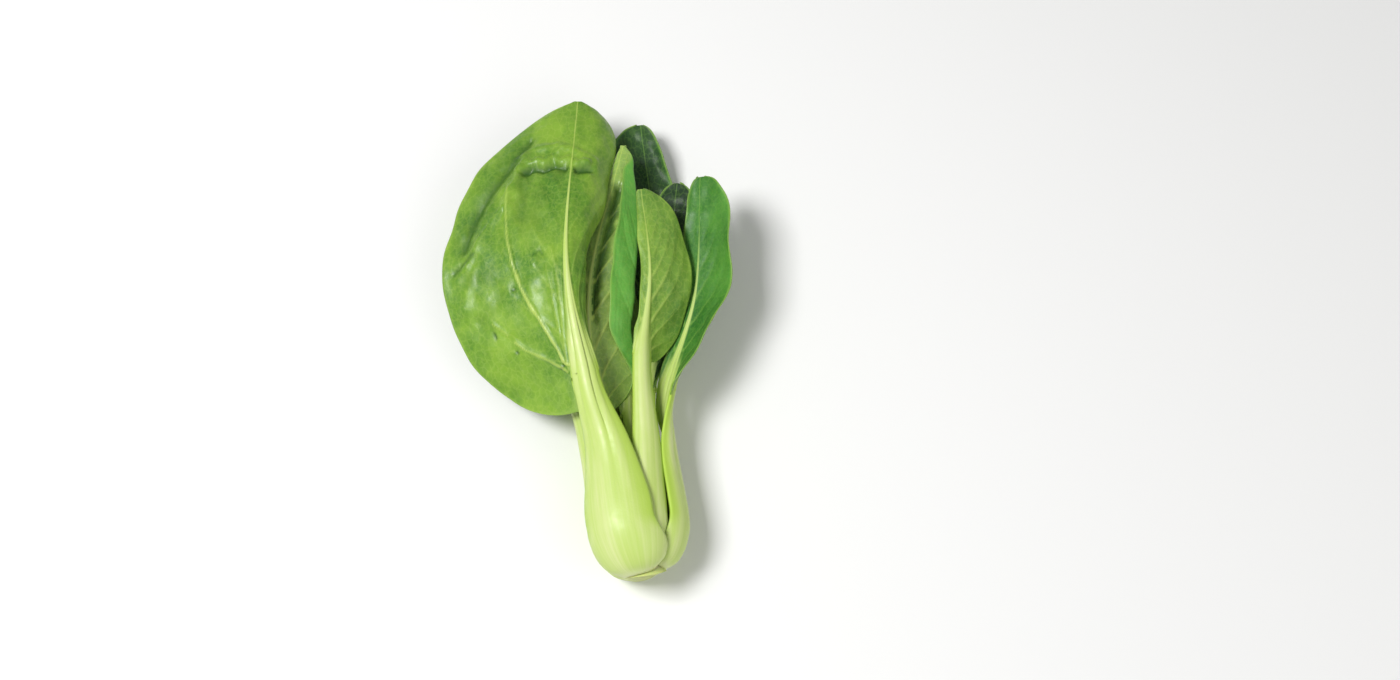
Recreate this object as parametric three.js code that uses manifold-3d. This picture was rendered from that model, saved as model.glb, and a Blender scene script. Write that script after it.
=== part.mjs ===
// A head of baby bok choy, as picked, lying on its side.
// The head's axis runs along +Y, from the cut root end to the leaf tips, and +Z is up from the surface it lies on.
// Eleven leaves stand round a short stem in a spiral. Each leaf is a thick pale stalk, which runs on as the rib,
// and a thin green blade on both sides of the rib. Lengths are in millimetres and angles in degrees.
import * as THREE from "three";
import { mergeVertices } from "three/addons/utils/BufferGeometryUtils.js";
import Module from "manifold-3d";

// The head
const turnPerLeaf = 137.5; // round the stem, from one leaf to the next
const firstLeafAngle = 112; // of the outermost leaf, from +X towards +Z
const axisHeight = 17.7; // of the stem over the surface
const bulbRadius = 19.2; // to the middle of the outermost stalk's wall
const radiusStep = 1.35; // from one leaf inwards to the next
const bulbTop = 22; // where the bulb is widest, along the axis
const waist = 50; // where the stalks stop following the round of the bulb
const waistShare = 0.98; // of a stalk's distance from the axis at the bulb's widest place
const widen = 1.08; // the bulb is a little wider than a circle
const flatten = 0.92; // and a little lower

// The stem
const stemRadius = 7.6; // where the outermost stalk starts
const stemStep = 0.55; // the next one starts nearer to the axis
const stemRise = 1.05; // and further along it
const stemEnd = 12.5; // its inner end, along the axis
const stemGap = 0.4; // between the stem and the stalks round it
const rootCut = 0.4; // the cut face, along the axis
const rootTilt = 20; // of the cut face, which looks a little downwards

// The stalks
const stalkWall = 4.8; // the outermost stalk at its thickest
const wallStep = 0.3; // thinner from one leaf to the next
const footShare = 0.72; // of that, where a stalk starts at the stem
const neckShare = 0.82; // of that, where the blade starts
const stalkEdge = 0.9; // thickness along a stalk's margins
const neckHollow = 38; // how far a stalk's margins are turned in where the blade starts
const outerShare = 0.65; // of a stalk's thickness, outside its middle surface
const ribEnd = 0.82; // where the rib ends, as a share of the blade
const ribPoint = 0.6; // half the rib's width at its end

// The blades
const bladeWall = 0.9; // thickness
const bladePoint = 1.2; // half the width at the tip
const foldDelay = 0.42; // how much further out a fold starts at both ends of the blade
const foldNeck = 0.3; // up to this share of the blade's length
const foldTip = 0.8; // and from this one on
const seam = 0.3; // clear gap between pieces that lie against each other
const lowest = 0.55; // a blade's middle surface over the table
const restHeight = 1.5; // below this a blade starts to lie flat on the table

// Each leaf's rib passes through neck, belly and tip: [x, y, z, direction that the back of the blade faces].
// aside is how far its stalk stands from the regular spiral, lean is how much further round it has gone by its
// waist, out is how much further out it lies than the spiral has it, and span is half the angle that it takes
// round the bulb. width is the blade's half width on its two sides, seen from the back with the tip up: [left,
// right]. turn is how far each side bends inwards from rib to margin, at the neck, belly and tip. base and end
// are the blade's taper towards the stalk and towards the tip: low is round, high is a wedge. lobe is how far
// its lowest part hangs back past the neck. ruffle is [height, waves, phase] of the wave along the margin. fold
// is [side, start, end, angle]: a margin that turns over, between two shares of the half width.
const leaves = [
  {
    aside: 3, lean: 0, out: 0, span: 43,
    neck: [-12, 77.5, 40, 102], belly: [-12.5, 126, 46, 96], tip: [1, 200, 31, 92],
    neckWidth: 5.6, width: [53, 20], base: [0.45, 1.6], end: [0.66, 0.42], lobe: [14, 1],
    turn: [[-18, 40], [14, 88], [24, 62]], ruffle: [1.1, 3.2, 0.1],
  },
  {
    aside: 0, lean: 0, out: 0, span: 50,
    neck: [-13, 78, 3.6, 250], belly: [-28, 132, 0.8, 266], tip: [-34, 182, 9, 264],
    neckWidth: 6.5, width: [27, 27], base: [0.8, 0.8], end: [0.5, 0.5], lobe: [4, 4],
    turn: [[-25, -25], [16, 16], [20, 20]], ruffle: [1.6, 3.4, 0.5],
  },
  {
    aside: -18, lean: 3, out: 0, span: 34,
    neck: [19.5, 71, 23, -40], belly: [36.5, 110, 24, -62], tip: [46, 158, 31, -60],
    neckWidth: 5.2, width: [17, 6], base: [0.5, 0.9], end: [0.4, 0.4], lobe: [3, 0],
    turn: [[0, 10], [26, 26], [20, 20]], ruffle: [1.6, 2.6, 0.2],
  },
  {
    aside: 6, lean: 0, out: 0, span: 50,
    neck: [-19, 78, 18, 185], belly: [-33, 124, 15, 238], tip: [-36, 166, 17, 240],
    neckWidth: 6, width: [18, 16], base: [0.8, 0.8], end: [0.5, 0.5], lobe: [3, 3],
    turn: [[-15, -15], [20, 20], [20, 20]], ruffle: [1.4, 3, 0.7],
  },
  {
    aside: 2, lean: -2, out: 0, span: 50,
    neck: [11, 80, 4.4, 290], belly: [24, 136, 1.2, 276], tip: [26, 195, 13, 270],
    neckWidth: 5.5, width: [10, 22], base: [0.8, 0.8], end: [0.5, 0.5], lobe: [3, 3],
    turn: [[-20, -20], [20, 20], [24, 24]], ruffle: [1.6, 3, 0.3],
  },
  {
    aside: -7, lean: -13, out: 3, span: 26.5,
    neck: [11.5, 84, 32, 66], belly: [19.3, 118, 36, 76], tip: [20.8, 153, 37, 82],
    neckWidth: 3.9, width: [3, 18], base: [0.9, 0.5], end: [0.5, 0.5], lobe: [0, 2],
    turn: [[-10, -20], [40, 24], [40, 24]], ruffle: [0.8, 2.4, 0.8],
  },
  {
    aside: 0, lean: 0, out: 0, span: 50,
    neck: [-12, 74, 15.5, 215], belly: [-14, 114, 20, 236], tip: [-17, 154, 22, 244],
    neckWidth: 4.5, width: [8, 11], base: [0.8, 0.8], end: [0.5, 0.5], lobe: [2, 2],
    turn: [[-10, -10], [24, 24], [20, 20]], ruffle: [1.2, 2.8, 0.6],
  },
  {
    aside: 0, lean: 0, out: 0, span: 50,
    neck: [12, 76, 14, -52], belly: [25, 116, 12.5, -74], tip: [37, 163, 18, -78],
    neckWidth: 4.5, width: [13, 11], base: [0.8, 0.8], end: [0.5, 0.5], lobe: [2, 2],
    turn: [[-15, -15], [20, 20], [20, 20]], ruffle: [1.2, 2.8, 0.1],
  },
  {
    aside: 0, lean: -12, out: 0, span: 50,
    neck: [-8.5, 67, 24.5, 98], belly: [-5, 118, 29.5, 92], tip: [17, 180, 25, 92],
    neckWidth: 3.6, width: [6, 29], base: [0.7, 0.75], end: [0.9, 0.9], lobe: [0, 2],
    turn: [[10, -20], [70, 4], [60, 4]], ruffle: [0.5, 3, 0.4], fold: [1, 0.53, 0.69, -168],
  },
  {
    aside: 0, lean: 0, out: 0, span: 50,
    neck: [-0.5, 66, 12, 266], belly: [0.5, 98, 11.5, 268], tip: [-0.5, 130, 14, 270],
    neckWidth: 3.5, width: [6.5, 7], base: [0.8, 0.8], end: [0.5, 0.5], lobe: [1, 1],
    turn: [[0, 0], [36, 36], [30, 30]], ruffle: [0.8, 2.4, 0.3],
  },
  {
    aside: 0, lean: 0, out: 0, span: 50,
    neck: [3, 64, 19.5, 40], belly: [6.5, 92, 20, 60], tip: [9, 120, 21, 70],
    neckWidth: 3.2, width: [6.5, 7], base: [0.8, 0.8], end: [0.5, 0.5], lobe: [1, 1],
    turn: [[0, 0], [36, 36], [30, 30]], ruffle: [0.8, 2.4, 0.6],
  },
];

// The look of the two kinds of piece, and of the stem
const stalkColour = "#cfe08f";
const bladeColour = "#5f9a3c";
const stemColour = "#e6e3b8";

// How finely the shapes are worked out
const ribSamples = 280; // places along a rib
const bendSteps = 20; // steps from the rib to a point of the leaf
const stemRings = 6;
const stemFacets = 28;

const radians = THREE.MathUtils.degToRad;
const blend = THREE.MathUtils.lerp;
const smooth = THREE.MathUtils.smoothstep;

const wasm = await Module();
wasm.setup();

// A point of the bulb: distance from the axis, angle round it, and place along it.
function roundAxis(radius, angle, along) {
  return new THREE.Vector3(
    radius * Math.cos(angle) * widen,
    along,
    axisHeight + radius * Math.sin(angle) * flatten,
  );
}

// The rib's line and what changes along it, for leaf number n.
function spineOf(leaf, n) {
  const angle = radians(firstLeafAngle + n * turnPerLeaf + leaf.aside);
  const radius = bulbRadius - n * radiusStep + leaf.out;
  const [startRadius, startAlong] = [stemRadius - stemStep * n, rootCut + stemRise * n];
  const points = [];
  const arcSteps = 3;
  for (let i = 0; i <= arcSteps; i++) {
    const a = ((Math.PI / 2) * i) / arcSteps;
    points.push(
      roundAxis(
        blend(startRadius, radius, Math.sin(a)),
        angle,
        blend(startAlong, bulbTop, 1 - Math.cos(a)),
      ),
    );
  }
  points.push(roundAxis(radius * waistShare, angle + radians(leaf.lean), waist));
  const stations = [leaf.neck, leaf.belly, leaf.tip];
  points.push(...stations.map((s) => new THREE.Vector3(...s.slice(0, 3))));

  // The back of a leaf faces away from the axis as far as the waist, and then as the stations say.
  const start = THREE.MathUtils.radToDeg(angle);
  const nearest = (a) => a - 360 * Math.round((a - start) / 360);
  const traits = points.slice(0, -3).map(() => new THREE.Vector3(start, ...leaf.turn[0]));
  traits.push(...stations.map((s, i) => new THREE.Vector3(nearest(s[3]), ...leaf.turn[i])));

  const line = new THREE.CatmullRomCurve3(points, false, "catmullrom", 0.5);
  const trait = new THREE.CatmullRomCurve3(traits, false, "catmullrom", 0.5);
  const places = Array.from({ length: ribSamples + 1 }, (_, i) => line.getPoint(i / ribSamples));
  const lengths = [0];
  for (let i = 1; i <= ribSamples; i++)
    lengths.push(lengths[i - 1] + places[i].distanceTo(places[i - 1]));
  const lengthAtStation = (k) => lengths[Math.round((ribSamples * k) / (points.length - 1))];
  return {
    radius, line, trait, lengths,
    top: lengthAtStation(arcSteps),
    waist: lengthAtStation(arcSteps + 1),
    neck: lengthAtStation(arcSteps + 2),
    end: lengths[ribSamples],
  };
}

// Place, directions and traits of the rib at a length along it. Past its ends the line runs on straight.
function ribAt(leaf, spine, length) {
  const inside = THREE.MathUtils.clamp(length, 0, spine.end);
  let i = 1;
  while (i < ribSamples && spine.lengths[i] < inside) i++;
  const [a, b] = [spine.lengths[i - 1], spine.lengths[i]];
  const t = (i - 1 + (inside - a) / (b - a)) / ribSamples;
  const along = spine.line.getTangent(t);
  const [face, left, right] = spine.trait.getPoint(t).toArray();
  const back = new THREE.Vector3(Math.cos(radians(face)), 0, Math.sin(radians(face)));
  back.addScaledVector(along, -back.dot(along)).normalize();
  const side = new THREE.Vector3().crossVectors(along, back);
  const place = spine.line.getPoint(t).addScaledVector(along, length - inside);
  const turn = [radians(left), radians(right)];
  const hollow =
    inside <= spine.neck
      ? radians(blend(leaf.span, neckHollow, smooth(inside, spine.top, spine.neck)))
      : radians(neckHollow) * (1 - (inside - spine.neck) / (spine.end - spine.neck)) ** 3;
  return { place, back, side, turn, hollow };
}

// Half the stalk's or the rib's width at a length along it.
function stalkHalf(leaf, spine, length) {
  const bulb = spine.radius * radians(leaf.span);
  if (length <= spine.neck)
    return blend(bulb, leaf.neckWidth, smooth(length, spine.top, spine.neck));
  const v = (length - spine.neck) / (spine.end - spine.neck) / ribEnd;
  return blend(ribPoint, leaf.neckWidth, Math.max(0, 1 - v) ** 3);
}

// The stalk's or the rib's thickness in its middle.
function stalkThickness(leaf, spine, n, length) {
  const wall = stalkWall - n * wallStep;
  const foot = blend(footShare, 1, smooth(length, 0, spine.top));
  if (length <= spine.neck) return wall * foot * blend(1, neckShare, length / spine.neck);
  const v = (length - spine.neck) / (spine.end - spine.neck) / ribEnd;
  return blend(stalkEdge, wall * neckShare, Math.max(0, 1 - v) ** 1.7);
}

// How far a side of the leaf has turned in at a distance from the rib's middle. The stalk's own hollow fades
// out along the rib, and beyond the rib the blade adds its turn and its fold.
function turned(leaf, rib, side, distance, stalk, blade, delay) {
  const k = side < 0 ? 0 : 1;
  const hollow = rib.hollow * Math.min(distance / stalk, 1);
  if (distance <= stalk) return hollow;
  const x = (distance - stalk) / blade;
  const turn = hollow + rib.turn[k] * x;
  if (!leaf.fold || leaf.fold[0] !== side) return turn;
  const [, start, end, angle] = leaf.fold;
  return turn + radians(angle) * smooth(x - delay, start, end);
}

// A point of the leaf's middle surface: side is -1 or 1, and stalk and blade are the widths there on that side.
function leafPoint(leaf, spine, length, side, distance, stalk, blade = 0, wave = 0, delay = 0) {
  const rib = ribAt(leaf, spine, length);
  let [sideways, inwards] = [0, 0];
  for (let i = 0; i < bendSteps; i++) {
    const middle = ((i + 0.5) / bendSteps) * distance;
    const angle = turned(leaf, rib, side, middle, stalk, blade, delay);
    sideways += (Math.cos(angle) * distance) / bendSteps;
    inwards += (Math.sin(angle) * distance) / bendSteps;
  }
  const angle = turned(leaf, rib, side, distance, stalk, blade, delay);
  const free = rib.place
    .clone()
    .addScaledVector(rib.side, side * (sideways + wave * Math.sin(angle)))
    .addScaledVector(rib.back, wave * Math.cos(angle) - inwards);

  // In the bulb the stalk goes round the stem instead.
  const share = smooth(length, spine.top, spine.waist);
  if (share === 1) return free;
  const radius = Math.hypot(rib.place.x / widen, (rib.place.z - axisHeight) / flatten);
  const centre = Math.atan2((rib.place.z - axisHeight) / flatten, rib.place.x / widen);
  const bulb = roundAxis(radius, centre - (side * distance) / spine.radius, rib.place.y);
  return bulb.lerp(free, share);
}

// A blade that would go below the table lies on it.
function settle(point) {
  if (point.z < restHeight) {
    const room = restHeight - lowest;
    point.z = lowest + room * Math.exp((point.z - restHeight) / room);
  }
  return point;
}

// A closed body from a sheet of points and triangles: how far it goes outside and inside the sheet at each point.
function thicken(points, triangles, outside, inside) {
  const sheet = new THREE.BufferGeometry().setFromPoints(points).setIndex(triangles);
  sheet.computeVertexNormals();
  const normals = sheet.attributes.normal;
  const place = (i, distance) =>
    points[i].clone().addScaledVector(new THREE.Vector3().fromBufferAttribute(normals, i), distance);
  const count = points.length;
  const body = [
    ...points.map((_, i) => place(i, outside[i])),
    ...points.map((_, i) => place(i, -inside[i])),
  ];
  const faces = [];
  const edges = new Set();
  for (let i = 0; i < triangles.length; i += 3) {
    const [a, b, c] = triangles.slice(i, i + 3);
    faces.push(a, b, c, count + a, count + c, count + b);
    [[a, b], [b, c], [c, a]].forEach((e) => edges.add(e.join()));
  }
  for (const edge of edges) {
    const [a, b] = edge.split(",").map(Number);
    if (!edges.has([b, a].join())) faces.push(b, a, count + a, b, count + a, count + b);
  }
  return new THREE.BufferGeometry().setFromPoints(body).setIndex(faces);
}

// Shares of the blade's length at which it has a row of points, closer at both ends.
function bladeRows(rows) {
  const last = 0.992;
  return Array.from({ length: rows + 1 }, (_, i) => (last * (1 - Math.cos((Math.PI * i) / rows))) / 2);
}

function bladeLength(spine, v) {
  return blend(spine.neck, spine.end, v);
}

function stalkGeometry(leaf, spine, n, rows, columns) {
  const lengths = [];
  const [bulbRows, stalkRows] = [5, 5];
  for (let i = 0; i < bulbRows; i++) lengths.push((spine.top * i) / bulbRows);
  for (let i = 0; i < stalkRows; i++) lengths.push(blend(spine.top, spine.neck, i / stalkRows));
  lengths.push(...bladeRows(rows).filter((v) => v <= ribEnd).map((v) => bladeLength(spine, v)));
  const [points, triangles, outside, inside] = [[], [], [], []];
  lengths.forEach((length, row) => {
    const half = stalkHalf(leaf, spine, length) - seam / 2;
    const thick = stalkThickness(leaf, spine, n, length);
    for (let i = 0; i <= columns; i++) {
      const across = (2 * i) / columns - 1;
      const side = across < 0 ? -1 : 1;
      points.push(leafPoint(leaf, spine, length, side, half * Math.abs(across), half + seam / 2));
      const wall = blend(stalkEdge, thick, 1 - across ** 2);
      outside.push(wall * outerShare);
      inside.push(wall * (1 - outerShare));
      if (row && i) {
        const b = points.length - 1;
        const [a, c, d] = [b - 1, b - columns - 1, b - columns - 2];
        triangles.push(d, c, b, d, b, a);
      }
    }
  });
  return thicken(points, triangles, outside, inside);
}

// Half the blade's width beyond the rib on one side.
function bladeHalf(leaf, side, v) {
  const k = side < 0 ? 0 : 1;
  const widest = leaf.base[k] / (leaf.base[k] + leaf.end[k]);
  const shape = (x) => x ** leaf.base[k] * (1 - x) ** leaf.end[k];
  return (leaf.width[k] * shape(v)) / shape(widest);
}

function bladeGeometry(leaf, spine, rows, columns) {
  const [points, triangles, thick] = [[], [], []];
  const shares = bladeRows(rows);
  const index = (row, side, i) => {
    const joined = i === 0 && shares[row] > ribEnd;
    return row * 2 * (columns + 1) + (side > 0 && !joined ? columns + 1 : 0) + i;
  };
  shares.forEach((v, row) => {
    const stalk = stalkHalf(leaf, spine, bladeLength(spine, v));
    const start = v <= ribEnd ? stalk + seam / 2 : 0;
    for (const side of [-1, 1]) {
      const k = side < 0 ? 0 : 1;
      const blade = Math.max(bladeHalf(leaf, side, v), bladePoint);
      const hang = -leaf.lobe[k] * (1 - v) ** 2;
      const [height, waves, phase] = leaf.ruffle;
      const ripple = Math.sin(2 * Math.PI * (waves * v + phase + 0.23 * side)) * smooth(v, 0, 0.3);
      const delay = foldDelay * (1 - smooth(v, 0, foldNeck) + smooth(v, foldTip, 1));
      for (let i = 0; i <= columns; i++) {
        const wave = ((height * blade) / leaf.width[k]) * (i / columns) ** 3 * ripple;
        const length = bladeLength(spine, v) + hang * (i / columns) ** 1.3;
        const clear = i ? stalkHalf(leaf, spine, length) + 2 * seam : 0;
        const distance = Math.max(blend(start, stalk + blade, i / columns), clear);
        points.push(settle(leafPoint(leaf, spine, length, side, distance, stalk, blade, wave, delay)));
        thick.push(bladeWall / 2);
        if (row && i) {
          const [a, b, c, d] = [
            index(row - 1, side, i - 1), index(row - 1, side, i), index(row, side, i), index(row, side, i - 1),
          ];
          if (side > 0) triangles.push(a, b, c, a, c, d);
          else triangles.push(a, c, b, a, d, c);
        }
      }
    }
  });
  // Where the two sides are joined, the right side's own points on the rib line are left unused.
  const used = [...new Set(triangles)].sort((a, b) => a - b);
  const renumber = new Map(used.map((old, i) => [old, i]));
  return thicken(
    used.map((i) => points[i]),
    triangles.map((i) => renumber.get(i)),
    used.map((i) => thick[i]),
    used.map((i) => thick[i]),
  );
}

// The short stem: a cone that the stalks stand round, with a slanting cut at its root end.
function stemGeometry() {
  const outer = outerShare * footShare;
  const slope = stemStep / (stemRise + wallStep * outer);
  const radiusAt = (along) => stemRadius - stemGap - (along - rootCut + stalkWall * outer) * slope;
  const profile = [new THREE.Vector2(0, rootCut)];
  for (let i = 0; i < stemRings; i++) {
    const along = blend(rootCut, stemEnd, i / stemRings);
    profile.push(new THREE.Vector2(radiusAt(along), along));
  }
  profile.push(new THREE.Vector2(0, stemEnd));
  const stem = new THREE.LatheGeometry(profile, stemFacets);
  const place = stem.attributes.position;
  for (let i = 0; i < place.count; i++) {
    const onCut = place.getY(i) < rootCut + 0.01;
    if (onCut) place.setY(i, rootCut - place.getZ(i) * Math.tan(radians(rootTilt)));
  }
  return stem
    .applyMatrix4(new THREE.Matrix4().makeScale(widen, 1, flatten))
    .translate(0, 0, axisHeight);
}

// Between a three.js geometry and a solid that can be cut.
function solidOf(geometry) {
  const bare = new THREE.BufferGeometry()
    .setAttribute("position", geometry.attributes.position)
    .setIndex(geometry.index);
  const merged = mergeVertices(bare, 1e-4);
  return new wasm.Manifold(
    new wasm.Mesh({
      numProp: 3,
      vertProperties: merged.attributes.position.array,
      triVerts: new Uint32Array(merged.index.array),
    }),
  );
}

function geometryOf(solid) {
  const mesh = solid.getMesh();
  return new THREE.BufferGeometry()
    .setAttribute("position", new THREE.BufferAttribute(new Float32Array(mesh.vertProperties), 3))
    .setIndex(new THREE.BufferAttribute(new Uint32Array(mesh.triVerts), 1));
}

// The largest connected piece of a solid, so that a cut leaves no scrap.
function largest(solid) {
  return solid.decompose().reduce((a, b) => (a.volume() >= b.volume() ? a : b));
}

const head = new THREE.Group();

function addPiece(name, geometry, colour, roughness) {
  geometry.computeVertexNormals();
  const material = new THREE.MeshStandardMaterial({ color: colour, roughness, metalness: 0, flatShading: true });
  const mesh = new THREE.Mesh(geometry, material);
  mesh.name = name;
  head.add(mesh);
}

const table = solidOf(new THREE.BoxGeometry(600, 600, 40).translate(0, 0, -20));
addPiece("stem", stemGeometry(), stemColour, 0.5);
leaves.forEach((leaf, n) => {
  const spine = spineOf(leaf, n);
  const size = Math.max(...leaf.width);
  const rows = Math.round(8 + size / 5);
  const columns = leaf.fold ? 10 : Math.round(4 + size / 14);
  const label = `leaf_${String(n + 1).padStart(2, "0")}`;
  const stalk = solidOf(stalkGeometry(leaf, spine, n, rows, n < 6 ? 6 : 4));
  const rest = largest(stalk.subtract(table));
  addPiece(`${label}_stalk`, geometryOf(rest), stalkColour, 0.35);
  addPiece(`${label}_blade`, bladeGeometry(leaf, spine, rows, columns), bladeColour, 0.45);
});

// The origin is the middle of the head's outline on the table.
const outline = new THREE.Box3().setFromObject(head);
head.position.set(-(outline.min.x + outline.max.x) / 2, -(outline.min.y + outline.max.y) / 2, -outline.min.z);

export default head;
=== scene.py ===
# The looks of a head of baby bok choy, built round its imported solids.
import math

import bpy
import numpy as np
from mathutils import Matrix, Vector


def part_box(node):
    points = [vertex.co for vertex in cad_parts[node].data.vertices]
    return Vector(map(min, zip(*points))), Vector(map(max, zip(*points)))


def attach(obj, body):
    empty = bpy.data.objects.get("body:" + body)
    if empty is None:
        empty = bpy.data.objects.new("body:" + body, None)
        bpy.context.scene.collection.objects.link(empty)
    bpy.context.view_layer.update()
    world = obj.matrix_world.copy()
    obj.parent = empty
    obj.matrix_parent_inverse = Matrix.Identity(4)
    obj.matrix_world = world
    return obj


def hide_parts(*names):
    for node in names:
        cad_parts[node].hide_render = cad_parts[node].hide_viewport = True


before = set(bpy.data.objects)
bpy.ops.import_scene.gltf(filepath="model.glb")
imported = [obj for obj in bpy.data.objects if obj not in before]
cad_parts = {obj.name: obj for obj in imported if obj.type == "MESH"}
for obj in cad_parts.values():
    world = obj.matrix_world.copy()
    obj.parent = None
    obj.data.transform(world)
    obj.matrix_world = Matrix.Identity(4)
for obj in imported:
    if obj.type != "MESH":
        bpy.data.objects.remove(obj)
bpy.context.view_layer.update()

mm = 0.001  # lengths below are in millimetres until a mesh is written

# The head as the solids have it, apart from foldTip and the last four lines. Angles are in degrees, and +Y
# runs from the root end to the tips.
head = {
    "turnPerLeaf": 137.5,
    "firstLeafAngle": 112,
    "axisHeight": 17.7,
    "bulbRadius": 19.2,
    "radiusStep": 1.35,
    "bulbTop": 22,
    "waist": 50,
    "waistShare": 0.98,
    "widen": 1.08,
    "flatten": 0.92,
    "stemRadius": 7.6,
    "stemStep": 0.55,
    "stemRise": 1.05,
    "stemEnd": 12.5,
    "rootCut": 0.4,
    "rootTilt": 20,
    "stalkWall": 4.8,
    "wallStep": 0.3,
    "footShare": 0.72,
    "neckShare": 0.82,
    "stalkEdge": 0.9,
    "neckHollow": 38,
    "outerShare": 0.65,
    "ribEnd": 0.82,
    "ribPoint": 0.6,
    "widthFall": 3,  # powers by which the rib narrows and thins towards its point
    "wallFall": 1.7,
    "foldDelay": 0.42,
    "foldNeck": 0.3,
    "foldTip": 0.9,  # a little nearer the tip than in the solids
    "lowest": 0.55,
    "restHeight": 1.5,
    "ribFade": (0.66, 0.86),  # shares of a blade between which its rib sinks into it
    "flankStart": (0.02, 0.2),  # where the rib's flanks turn green
    "lineStart": (0.45, 0.8),  # where the pale rib thins to a line
    "footSheath": (8, 24),  # the stretch of a stalk in which its sheathing base ends
}

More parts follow.
